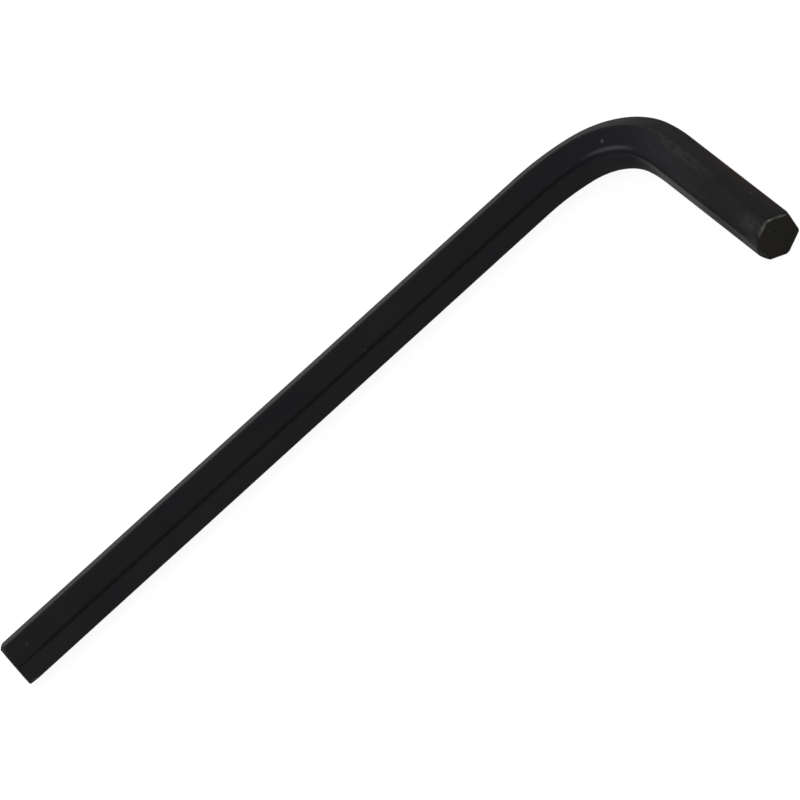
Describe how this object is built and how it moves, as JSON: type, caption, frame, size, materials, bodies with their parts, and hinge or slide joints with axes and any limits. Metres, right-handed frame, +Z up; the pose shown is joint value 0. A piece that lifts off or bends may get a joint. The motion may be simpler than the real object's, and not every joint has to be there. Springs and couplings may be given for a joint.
{
  "type": "hex key",
  "caption": "L-shaped hexagonal key bent from one steel bar, which turns hexagon-socket screws with the end of either arm.",
  "frame": {"origin": "on the surface the key lies on, under the middle of its box", "axes": "+X along the long arm from its free end towards the bend, -Y along the short arm from the bend to its free end, +Z up, square to the plane of the bend"},
  "size_m": [0.0722, 0.0276, 0.0045],
  "materials": {
    "black_oxide_steel": "black oxide on drawn alloy steel, semi-matt, lightly rubbed on the edges"
  },
  "bodies": {
    "root": {"hex_key": "black_oxide_steel"}
  },
  "joints": []
}
